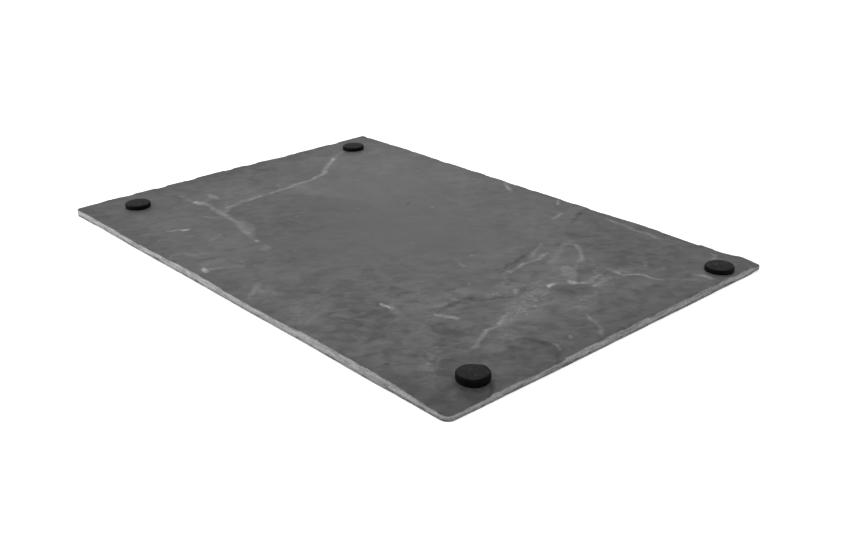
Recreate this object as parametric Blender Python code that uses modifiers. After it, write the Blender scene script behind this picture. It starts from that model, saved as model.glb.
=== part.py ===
"""Slate serving board, lying on its serving face with its four pads up.

Sizes below are in millimetres. Each piece is modelled in millimetres too, because Boolean cuts
this fine need it, and is turned to metres when it is finished. The origin is at the middle of
the board, on the surface it lies on.
"""
import math
import random
from collections import namedtuple

import bmesh
import bpy
from mathutils import Matrix, Vector, noise

MM = 0.001
WELD = 0.0001  # points closer than this are one

# The board: a sawn and dressed slab, split along its layers
LENGTH = 300.0
WIDTH = 200.0
THICKNESS = 3.9
ARRIS = 0.35  # wear along the edges of both faces
ARRIS_ANGLE = math.radians(60)
HALF_LENGTH = LENGTH / 2
HALF_WIDTH = WIDTH / 2

# How far each side stands inside the full rectangle: (place along the side, inset)
NEAR_LONG_SIDE = ((-120, 0.4), (-80, 0.0), (-35, 0.3), (20, 0.1), (60, 0.4), (100, 0.0), (130, 0.2))
RIGHT_SIDE = ((-78, 0.3), (-45, 0.0), (-10, 0.1), (40, 0.0), (75, 0.2))
FAR_LONG_SIDE = (
    (142, 0.1), (138, 0.3), (135, 2.0), (128, 2.3), (119, 2.0), (110, 1.5), (100, 1.0),
    (90, 0.2), (60, 0.1), (20, 0.3), (-12, 0.7), (-45, 0.4), (-86, 0.0), (-130, 0.1),
)
LEFT_SIDE = ((85, 1.8), (60, 1.2), (35, 2.0), (12, 1.8), (-5, 0.6), (-30, 0.7), (-50, 0.8), (-75, 0.0))

# Each corner: its inset from the rectangle along X and Y, and its radius
LEFT_CORNER = (0.0, 0.0, 3.0)
NEAR_CORNER = (0.4, 0.2, 4.0)
RIGHT_CORNER = (0.0, 0.0, 2.2)
FAR_CORNER = (1.4, 0.1, 1.2)
CORNER_STEPS = 5

# Broad swells and hollows of the split face: centre, reach, height
Swell = namedtuple("Swell", "x y reach height")
SWELLS = (
    Swell(-75, -104, 26, -0.40),
    Swell(-22, -102, 14, 0.30),
    Swell(42, -102, 11, -0.50),
    Swell(72, -102, 15, 0.50),
    Swell(103, -100, 17, 0.75),
    Swell(152, 98, 18, -0.55),
    Swell(-20, -30, 45, -0.25),
    Swell(-100, 40, 40, 0.20),
    Swell(60, 80, 40, -0.20),
    Swell(120, 5, 30, 0.15),
)

# A flake lifted off the face: its edge is crisp where it is deep and runs out where it fades
Flake = namedtuple("Flake", "name outline deepest depth fades_to")
UNDERSIDE_FLAKES = (
    Flake(
        "middle_layer",
        ((-97, -8), (-95, -28), (-92, -38), (-86, -46), (-70, -47), (-55, -52), (-38, -56),
         (-8, -62), (16, -44), (12, -8), (-20, 18), (-50, 18), (-70, 6), (-88, -4)),
        (-92, -42), 0.40, (4, -10),
    ),
    Flake(
        "left_layer",
        ((-134, 70), (-128, 67), (-119, 52), (-110, 42), (-103, 34), (-98, 20), (-96, 2),
         (-97, -12), (-106, -16), (-120, -8), (-134, 6), (-143, 24), (-144, 50)),
        (-98, 12), 0.32, (-143, 30),
    ),
    Flake(
        "left_spur",
        ((-122, -47), (-112, -45), (-100, -46), (-90, -47), (-84, -50), (-84, -55), (-96, -60),
         (-112, -62), (-124, -56)),
        (-104, -46), 0.28, (-106, -62),
    ),
    Flake(
        "tongue",
        ((62, 42), (66, 34), (70, 28), (72, 18), (75, 8), (82, 2), (92, 8), (103, 17), (100, 23),
         (95, 31), (90, 40), (84, 47), (76, 53), (70, 50)),
        (68, 22), 0.60, (100, 34),
    ),
    Flake(
        "bay",
        ((82, 1), (88, -8), (93, -14), (88, -20), (82, -28), (84, -40), (83, -50), (91, -60),
         (104, -64), (117, -57), (113, -45), (110, -35), (107, -25), (103, -12), (97, 2), (90, 5)),
        (86, -26), 0.55, (118, -30),
    ),
    Flake(
        "far_layer",
        ((44, 106), (46, 90), (52, 76), (60, 64), (68, 57), (78, 57), (90, 47), (101, 45),
         (113, 42), (118, 47), (126, 56), (128, 80), (126, 106)),
        (50, 78), 0.42, (127, 72),
    ),
    Flake(
        "far_edge_chip",
        ((58, 106), (62, 95), (80, 92.5), (98, 92), (112, 94), (128, 106)),
        (96, 100), 0.50, (60, 98),
    ),
    Flake(
        "right_edge_layer",
        ((126, -37), (133, -34), (139, -34), (144, -35), (156, -42), (156, -77), (148, -73),
         (138, -64), (128, -56), (123, -46)),
        (151, -38), 0.95, (126, -70),
    ),
    Flake(
        "near_corner_layer",
        ((141, -67.5), (145, -71.5), (150, -77.5), (156, -82), (156, -106), (118, -106), (121, -92),
         (130, -79)),
        (150, -84), 0.95, (134, -75),
    ),
    Flake(
        "left_corner_layer",
        ((-156, -106), (-111, -106), (-113, -97), (-121, -93), (-134, -91), (-146, -87), (-156, -80)),
        (-150, -101), 0.40, (-112, -86),
    ),
)
SERVING_FACE_FLAKES = (
    Flake(
        "serving_sweep",
        ((-118, -70), (-60, -84), (-14, -72), (-8, -40), (-44, -22), (-92, -26), (-124, -44)),
        (-60, -80), 0.35, (-60, -20),
    ),
    Flake(
        "serving_shell",
        ((28, 24), (58, 14), (96, 22), (116, 48), (100, 74), (62, 80), (34, 60)),
        (60, 16), 0.40, (70, 84),
    ),
    Flake(
        "serving_edge",
        ((156, -40), (132, -36), (118, -54), (128, -74), (156, -70)),
        (149, -56), 0.50, (112, -56),
    ),
    Flake(
        "serving_far_edge",
        ((-96, 106), (-88, 84), (-52, 78), (-22, 86), (-16, 106)),
        (-56, 99), 0.50, (-56, 74),
    ),
)
FLAKE_TOP = 3.0  # a lifted flake's cutter reaches this far past the face
RAGGED_STEP = 5.0  # spacing of the broken points along a flake's edge
RAGGED_AMOUNT = 0.7
RAGGED_PITCH = 0.31  # how quickly the break wanders from side to side, per millimetre

# Small chips along the arrises: least and greatest length, width into the face, depth and spacing
CHIP_SEED = 11
UPPER_CHIP_SPACING = 20.0
LOWER_CHIP_SPACING = 45.0
CHIP_LENGTH = (3.0, 9.0)
CHIP_WIDTH = (0.6, 1.6)
CHIP_DEPTH = (0.4, 0.8)
CHIP_SPREAD = (0.7, 1.5)
CHIP_SHAPE = ((-0.6, -1.5), (0.6, -1.5), (0.45, 0.2), (0.15, 0.95), (-0.22, 0.8), (-0.45, 0.3))

# The split face is cut into cells this size, so that it can swell
CELL_X = 10.0
CELL_Y = 14.0
SWELL_NONE = 0.3  # share of the thickness below which nothing swells
SWELL_FULL = 0.6  # and above which the swell is felt in full

# Stick-on rubber pads
PAD_FLAT = 0.55  # share of the pad's radius that is flat on top
PAD_RIM = 0.55  # rounding of the pad's upper edge
PAD_CROWN = 0.12  # how far the pad's middle stands above its rim
PAD_UNDERCUT = 0.2  # how far the base stands back under the side
PAD_GAP = 0.3
PAD_SIDES = 28
RIM_ANGLES = (60, 30, 0)

# Each pad's place and size: centre X, centre Y, diameter, height
PADS = {
    "pad_front_left": (-128.6, -73.4, 13.7, 2.1),
    "pad_front_right": (136.5, -74.5, 13.8, 3.0),
    "pad_back_left": (-129.1, 76.7, 13.3, 2.1),
    "pad_back_right": (141.1, 78.7, 13.6, 2.1),
}

SLATE_COLOUR = (0.115, 0.115, 0.118)
SLATE_ROUGHNESS = 0.7
RUBBER_COLOUR = (0.018, 0.018, 0.019)
RUBBER_ROUGHNESS = 0.6


def clear_scene():
    for old in list(bpy.data.objects):
        bpy.data.objects.remove(old, do_unlink=True)


def new_collection(name):
    group = bpy.data.collections.new(name)
    bpy.context.scene.collection.children.link(group)
    return group


def new_material(name, colour, roughness):
    material = bpy.data.materials.new(name)
    material.use_nodes = True
    shader = material.node_tree.nodes["Principled BSDF"]
    shader.inputs["Base Color"].default_value = (*colour, 1.0)
    shader.inputs["Roughness"].default_value = roughness
    shader.inputs["Metallic"].default_value = 0.0
    return material


def hide_cutter(cutter):
    cutter.hide_render = True
    cutter.display_type = "WIRE"


def as_mesh(shape):
    """Turns a curve object into a closed mesh object, its place kept in the mesh."""
    seen = shape.evaluated_get(bpy.context.evaluated_depsgraph_get())
    mesh = bpy.data.meshes.new_from_object(seen)
    mesh.transform(shape.matrix_world)
    name = shape.name
    group = shape.users_collection[0]
    bpy.data.objects.remove(shape, do_unlink=True)
    solid = bpy.data.objects.new(name, mesh)
    group.objects.link(solid)
    work = bmesh.new()
    work.from_mesh(mesh)
    bmesh.ops.remove_doubles(work, verts=work.verts, dist=WELD)
    work.to_mesh(mesh)
    work.free()
    return solid


def plate(name, outline, low, high, group):
    """A flat plate between two heights, from an outline in millimetres."""
    curve = bpy.data.curves.new(name, "CURVE")
    curve.dimensions = "2D"
    curve.fill_mode = "BOTH"
    curve.extrude = (high - low) / 2
    spline = curve.splines.new("POLY")
    spline.points.add(len(outline) - 1)
    spline.use_cyclic_u = True
    for point, (x, y) in zip(spline.points, outline):
        point.co = (x, y, 0, 1)
    shape = bpy.data.objects.new(name, curve)
    shape.location.z = (low + high) / 2
    group.objects.link(shape)
    bpy.context.view_layer.update()
    return as_mesh(shape)


def corner_arc(middle_x, middle_y, radius, start):
    """Points of a quarter circle, anticlockwise from the start angle in degrees."""
    points = []
    for step in range(CORNER_STEPS + 1):
        turn = math.radians(start + 90 * step / CORNER_STEPS)
        points.append((middle_x + radius * math.cos(turn), middle_y + radius * math.sin(turn)))
    return points


def board_outline():
    """The board's edge seen from above, anticlockwise from its left corner."""
    inset_x, inset_y, radius = LEFT_CORNER
    outline = corner_arc(-HALF_LENGTH + inset_x + radius, -HALF_WIDTH + inset_y + radius, radius, 180)
    outline += [(along, -HALF_WIDTH + inset) for along, inset in NEAR_LONG_SIDE]
    inset_x, inset_y, radius = NEAR_CORNER
    outline += corner_arc(HALF_LENGTH - inset_x - radius, -HALF_WIDTH + inset_y + radius, radius, 270)
    outline += [(HALF_LENGTH - inset, along) for along, inset in RIGHT_SIDE]
    inset_x, inset_y, radius = RIGHT_CORNER
    outline += corner_arc(HALF_LENGTH - inset_x - radius, HALF_WIDTH - inset_y - radius, radius, 0)
    outline += [(along, HALF_WIDTH - inset) for along, inset in FAR_LONG_SIDE]
    inset_x, inset_y, radius = FAR_CORNER
    outline += corner_arc(-HALF_LENGTH + inset_x + radius, HALF_WIDTH - inset_y - radius, radius, 90)
    outline += [(-HALF_LENGTH + inset, along) for along, inset in LEFT_SIDE]
    return outline


def ragged(outline):
    """The same outline with broken points added along each of its straight runs."""
    points = []
    for start, end in zip(outline, outline[1:] + outline[:1]):
        start = Vector((*start, 0))
        end = Vector((*end, 0))
        run = end - start
        across = Vector((-run.y, run.x, 0)).normalized()
        points.append((start.x, start.y))
        steps = int(run.length / RAGGED_STEP)
        for step in range(1, steps):
            place = start + run * (step / steps)
            place += across * RAGGED_AMOUNT * noise.noise(place * RAGGED_PITCH)
            points.append((place.x, place.y))
    return points


def flake_cutter(flake, group, face_height, side):
    """The wedge that lifts one flake off a face: side is 1 for the top face, -1 for the bottom."""
    low, high = sorted((face_height - side * flake.depth, face_height + side * FLAKE_TOP))
    cutter = plate(flake.name, ragged(flake.outline), low, high, group)
    deepest = Vector(flake.deepest)
    fade = Vector(flake.fades_to) - deepest
    slope = side * flake.depth / fade.length
    for vertex in cutter.data.vertices:
        vertex.co.z += slope * (vertex.co.xy - deepest).dot(fade.normalized())
    hide_cutter(cutter)
    return cutter


def edge_chips(outline, spacing, source):
    """Small flakes broken off an arris, at uneven places along the board's edge."""
    reach = source.uniform(0, spacing)
    for start, end in zip(outline, outline[1:] + outline[:1]):
        start = Vector(start)
        run = Vector(end) - start
        along = run.normalized()
        inward = Vector((-along.y, along.x))
        while reach < run.length:
            middle = start + along * reach
            length = source.uniform(*CHIP_LENGTH)
            width = source.uniform(*CHIP_WIDTH)
            shape = [middle + along * length * share + inward * width * into for share, into in CHIP_SHAPE]
            yield Flake("chip", [tuple(point) for point in shape], middle,
                        source.uniform(*CHIP_DEPTH), middle + inward * width)
            reach += spacing * source.uniform(*CHIP_SPREAD)
        reach -= run.length


def cut(solid, cutters):
    """Cuts the solid with each cutter in turn and keeps the result as its mesh."""
    for cutter in cutters:
        tool = solid.modifiers.new(cutter.name, "BOOLEAN")
        tool.operation = "DIFFERENCE"
        tool.solver = "EXACT"
        tool.object = cutter
    bpy.context.view_layer.update()
    seen = solid.evaluated_get(bpy.context.evaluated_depsgraph_get())
    mesh = bpy.data.meshes.new_from_object(seen)
    solid.modifiers.clear()
    solid.data = mesh


def swell_height(x, y):
    """How far the split face stands above or below its mean plane, in millimetres."""
    height = 0.0
    for swell in SWELLS:
        away = math.hypot(x - swell.x, y - swell.y) / swell.reach
        height += swell.height * math.exp(-away * away)
    return height


def slice_top(work, spacing, half_span, normal):
    """Cuts the faces of the upper side into strips at right angles to the normal."""
    count = int(2 * half_span / spacing)
    for step in range(1, count):
        place = -half_span + step * 2 * half_span / count
        upper = [face for face in work.faces if face.calc_center_median().z > THICKNESS * SWELL_FULL]
        geometry = set(upper)
        for face in upper:
            geometry.update(face.edges)
            geometry.update(face.verts)
        bmesh.ops.bisect_plane(work, geom=list(geometry), dist=WELD,
                               plane_co=Vector(normal) * place, plane_no=normal)


def swell_face(solid):
    """Gives the split face its broad swells and hollows; the serving face stays where it is."""
    work = bmesh.new()
    work.from_mesh(solid.data)
    slice_top(work, CELL_X, HALF_LENGTH, (1, 0, 0))
    slice_top(work, CELL_Y, HALF_WIDTH, (0, 1, 0))
    low = SWELL_NONE * THICKNESS
    high = SWELL_FULL * THICKNESS
    for vertex in work.verts:
        share = min(max((vertex.co.z - low) / (high - low), 0.0), 1.0)
        vertex.co.z += share * swell_height(vertex.co.x, vertex.co.y)
    bmesh.ops.triangulate(work, faces=work.faces)
    work.to_mesh(solid.data)
    work.free()


def make_slab(parts, cutters):
    outline = board_outline()
    slab = plate("slate_slab", outline, 0, THICKNESS, parts)
    edge = slab.modifiers.new("worn_arris", "BEVEL")
    edge.width = ARRIS
    edge.segments = 1
    edge.limit_method = "ANGLE"
    edge.angle_limit = ARRIS_ANGLE
    source = random.Random(CHIP_SEED)
    upper = list(UNDERSIDE_FLAKES) + list(edge_chips(outline, UPPER_CHIP_SPACING, source))
    lower = list(SERVING_FACE_FLAKES) + list(edge_chips(outline, LOWER_CHIP_SPACING, source))
    lifted = [flake_cutter(flake, cutters, THICKNESS, 1) for flake in upper]
    lifted += [flake_cutter(flake, cutters, 0, -1) for flake in lower]
    cut(slab, lifted)
    swell_face(slab)
    slab.data.transform(Matrix.Scale(MM, 4))
    slab.data.name = "slate_slab"
    slab.data.materials.clear()
    slab.data.materials.append(new_material("slate", SLATE_COLOUR, SLATE_ROUGHNESS))
    return slab


def pad_profile(radius, height):
    """Half of the pad's section, from the middle of its top round to the middle of its base."""
    shoulder = radius - PAD_RIM
    rim_top = height - PAD_CROWN
    profile = [(0, height), (radius * PAD_FLAT, height), (shoulder, rim_top)]
    for turn in map(math.radians, RIM_ANGLES):
        profile.append((shoulder + PAD_RIM * math.cos(turn), rim_top - PAD_RIM + PAD_RIM * math.sin(turn)))
    profile += [(radius, PAD_UNDERCUT), (radius - PAD_UNDERCUT, 0), (0, 0)]
    return profile


def pad_seat(x, y, radius):
    """The height of the split face's highest point under a pad."""
    places = [(x, y)]
    for side in range(PAD_SIDES):
        turn = math.tau * side / PAD_SIDES
        places.append((x + radius * math.cos(turn), y + radius * math.sin(turn)))
    return THICKNESS + max(swell_height(*place) for place in places)


def make_pad(name, x, y, diameter, height, rubber, parts):
    mesh = bpy.data.meshes.new(name)
    points = [(across * MM, 0, up * MM) for across, up in pad_profile(diameter / 2, height)]
    mesh.from_pydata(points, [(step, step + 1) for step in range(len(points) - 1)], [])
    mesh.materials.append(rubber)
    pad = bpy.data.objects.new(name, mesh)
    parts.objects.link(pad)
    turned = pad.modifiers.new("turned", "SCREW")
    turned.steps = PAD_SIDES
    turned.render_steps = PAD_SIDES
    turned.use_merge_vertices = True
    turned.merge_threshold = WELD * MM
    pad.location = (x * MM, y * MM, (pad_seat(x, y, diameter / 2) + PAD_GAP) * MM)
    return pad


def main():
    clear_scene()
    parts = new_collection("slate_serving_board")
    cutters = new_collection("cutters")
    make_slab(parts, cutters)
    rubber = new_material("pad_rubber", RUBBER_COLOUR, RUBBER_ROUGHNESS)
    for name, (x, y, diameter, height) in PADS.items():
        make_pad(name, x, y, diameter, height, rubber, parts)


main()
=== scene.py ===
"""Slate serving board, turned over on a pale studio floor with its four rubber pads up.

The file is laid out as an add-on and is run as a script. Places and sizes in the lists below are
in millimetres, from the middle of the board, as in the solids that it dresses.
"""
import math
import random
from collections import namedtuple

import bmesh
import bpy
import numpy as np
from mathutils import Matrix, Vector, noise


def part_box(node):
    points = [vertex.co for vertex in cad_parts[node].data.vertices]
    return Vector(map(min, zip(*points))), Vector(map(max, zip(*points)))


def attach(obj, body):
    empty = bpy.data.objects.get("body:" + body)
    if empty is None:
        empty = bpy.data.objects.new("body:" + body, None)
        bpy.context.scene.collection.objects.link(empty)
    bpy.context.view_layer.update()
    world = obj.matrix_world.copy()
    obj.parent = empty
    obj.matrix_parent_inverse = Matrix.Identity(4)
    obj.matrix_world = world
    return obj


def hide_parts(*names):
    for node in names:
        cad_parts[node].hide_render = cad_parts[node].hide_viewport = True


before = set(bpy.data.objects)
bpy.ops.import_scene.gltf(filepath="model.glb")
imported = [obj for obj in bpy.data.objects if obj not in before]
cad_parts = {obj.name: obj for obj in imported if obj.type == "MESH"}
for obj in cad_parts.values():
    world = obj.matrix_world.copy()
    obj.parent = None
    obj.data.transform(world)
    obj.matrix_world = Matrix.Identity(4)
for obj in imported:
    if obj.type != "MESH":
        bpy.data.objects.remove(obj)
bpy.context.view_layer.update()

bl_info = {
    "name": "Slate Serving Board",
    "version": (1, 0, 0),
    "blender": (4, 5, 0),
    "location": "View3D > Sidebar > Slate Board",
    "description": "Builds a split slate serving board with stick-on rubber pads",
    "category": "Add Mesh",
}

MM = 0.001
SLAB_LOW, SLAB_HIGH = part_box("slate_slab")
HALF_LENGTH = (SLAB_HIGH.x - SLAB_LOW.x) / 2 / MM
HALF_WIDTH = (SLAB_HIGH.y - SLAB_LOW.y) / 2 / MM
THICKNESS = 3.9
ARRIS = 0.35
ARRIS_ANGLE = math.radians(60)

# How far each side stands inside the full rectangle: (place along the side, inset)
NEAR_LONG_SIDE = ((-120, 0.4), (-80, 0.0), (-35, 0.3), (20, 0.1), (60, 0.4), (100, 0.0), (130, 0.2))
RIGHT_SIDE = ((-78, 0.3), (-45, 0.0), (-10, 0.1), (40, 0.0), (75, 0.2))
FAR_LONG_SIDE = (
    (142, 0.1), (138, 0.3), (135, 2.0), (128, 2.3), (119, 2.0), (110, 1.5), (100, 1.0),
    (90, 0.2), (60, 0.1), (20, 0.3), (-12, 0.7), (-45, 0.4), (-86, 0.0), (-130, 0.1),
)
LEFT_SIDE = ((85, 1.8), (60, 1.2), (35, 2.0), (12, 1.8), (-5, 0.6), (-30, 0.7), (-50, 0.8), (-75, 0.0))

# Each corner: its inset from the rectangle along X and Y, and its radius
LEFT_CORNER = (0.0, 0.0, 3.0)
NEAR_CORNER = (0.4, 0.2, 4.0)
RIGHT_CORNER = (0.0, 0.0, 2.2)
FAR_CORNER = (1.4, 0.1, 1.2)
CORNER_STEPS = 5

# Broad swells and hollows of the split face
Swell = namedtuple("Swell", "x y reach height")
SWELLS = (
    Swell(-75, -104, 26, -0.40),
    Swell(-22, -102, 14, 0.30),
    Swell(42, -102, 11, -0.50),
    Swell(72, -102, 15, 0.50),
    Swell(103, -100, 17, 0.75),
    Swell(152, 98, 18, -0.55),
    Swell(-20, -30, 45, -0.25),
    Swell(-100, 40, 40, 0.20),
    Swell(60, 80, 40, -0.20),
    Swell(120, 5, 30, 0.15),
)

# Flakes lifted off the faces: tone is how much darker or paler the fresh layer under each one is, and
# soft is the width of the ledge around it. The right corner is worn round above and below.
Flake = namedtuple("Flake", "name outline deepest depth fades_to tone soft")
WORN_CORNER = ((142, 106), (143, 98), (147, 94), (156, 92), (156, 106))
UNDERSIDE_FLAKES = (
    Flake(
        "middle_layer",
        ((-97, -8), (-95, -28), (-92, -38), (-86, -46), (-70, -47), (-55, -52), (-38, -56),
         (-8, -62), (16, -44), (12, -8), (-20, 18), (-50, 18), (-70, 6), (-88, -4)),
        (-92, -42), 0.40, (4, -10), -0.15, 2.4,
    ),
    Flake(
        "left_layer",
        ((-134, 70), (-128, 67), (-119, 52), (-110, 42), (-103, 34), (-98, 20), (-96, 2),
         (-97, -12), (-106, -16), (-120, -8), (-134, 6), (-143, 24), (-144, 50)),
        (-98, 12), 0.32, (-143, 30), -0.10, 2.0,
    ),
    Flake(
        "left_spur",
        ((-122, -47), (-112, -45), (-100, -46), (-90, -47), (-84, -50), (-84, -55), (-96, -60),
         (-112, -62), (-124, -56)),
        (-104, -46), 0.28, (-106, -62), -0.05, 2.0,
    ),
    Flake(
        "tongue",
        ((62, 42), (66, 34), (70, 28), (72, 18), (75, 8), (82, 2), (92, 8), (103, 17), (100, 23),
         (95, 31), (90, 40), (84, 47), (76, 53), (70, 50)),
        (68, 22), 0.60, (100, 34), 0.05, 2.2,
    ),
    Flake(
        "bay",
        ((82, 1), (88, -8), (93, -14), (88, -20), (82, -28), (84, -40), (83, -50), (91, -60),
         (104, -64), (117, -57), (113, -45), (110, -35), (107, -25), (103, -12), (97, 2), (90, 5)),
        (86, -26), 0.55, (118, -30), -0.03, 1.8,
    ),
    Flake(
        "far_layer",
        ((44, 106), (46, 90), (52, 76), (60, 64), (68, 57), (78, 57), (90, 47), (101, 45),
         (113, 42), (118, 47), (126, 56), (128, 80), (126, 106)),
        (50, 78), 0.42, (127, 72), -0.12, 3.0,
    ),
    Flake(
        "far_edge_chip",
        ((58, 106), (62, 95), (80, 92.5), (98, 92), (112, 94), (128, 106)),
        (96, 100), 0.50, (60, 98), 0.05, 2.4,
    ),
    Flake(
        "right_edge_layer",
        ((126, -37), (133, -34), (139, -34), (144, -35), (156, -42), (156, -77), (148, -73),
         (138, -64), (128, -56), (123, -46)),
        (151, -38), 0.95, (126, -70), -0.04, 1.3,
    ),
    Flake(
        "near_corner_layer",
        ((141, -67.5), (145, -71.5), (150, -77.5), (156, -82), (156, -106), (118, -106), (121, -92),
         (130, -79)),
        (150, -84), 1.15, (134, -75), -0.06, 1.3,
    ),
    Flake("right_corner_wear", WORN_CORNER, (150, 100), 1.00, (143, 93), 0.0, 5.0),
    Flake(
        "left_corner_layer",
        ((-156, -106), (-111, -106), (-113, -97), (-121, -93), (-134, -91), (-146, -87), (-156, -80)),
        (-150, -101), 0.40, (-112, -86), -0.05, 6.0,
    ),
)
SERVING_FACE_FLAKES = (
    Flake("serving_corner_wear", WORN_CORNER, (150, 100), 3.00, (143, 93), 0.0, 5.0),
    Flake(
        "serving_sweep",
        ((-118, -70), (-60, -84), (-14, -72), (-8, -40), (-44, -22), (-92, -26), (-124, -44)),
        (-60, -80), 0.35, (-60, -20), -0.08, 3.0,
    ),
    Flake(
        "serving_shell",
        ((28, 24), (58, 14), (96, 22), (116, 48), (100, 74), (62, 80), (34, 60)),
        (60, 16), 0.40, (70, 84), 0.06, 3.0,
    ),
    Flake(
        "serving_edge",
        ((156, -40), (132, -36), (118, -54), (128, -74), (156, -70)),
        (149, -56), 0.50, (112, -56), -0.05, 3.0,
    ),
    Flake(
        "serving_far_edge",
        ((-96, 106), (-88, 84), (-52, 78), (-22, 86), (-16, 106)),
        (-56, 99), 0.50, (-56, 74), -0.05, 3.0,
    ),
)
FLAKE_LIMIT = 1.45

# Small chips along the arrises, at the same places as in the solids
CHIP_SEED = 11
UPPER_CHIP_SPACING = 20.0
LOWER_CHIP_SPACING = 45.0
CHIP_LENGTH = (3.0, 9.0)
CHIP_WIDTH = (0.6, 1.6)
CHIP_DEPTH = (0.4, 0.8)
CHIP_SOFTNESS = 1.0
CHIP_WORN = 0.6
CHIP_SPREAD = (0.7, 1.5)
CHIP_SHAPE = ((-0.6, -1.5), (0.6, -1.5), (0.45, 0.2), (0.15, 0.95), (-0.22, 0.8), (-0.45, 0.3))

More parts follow.
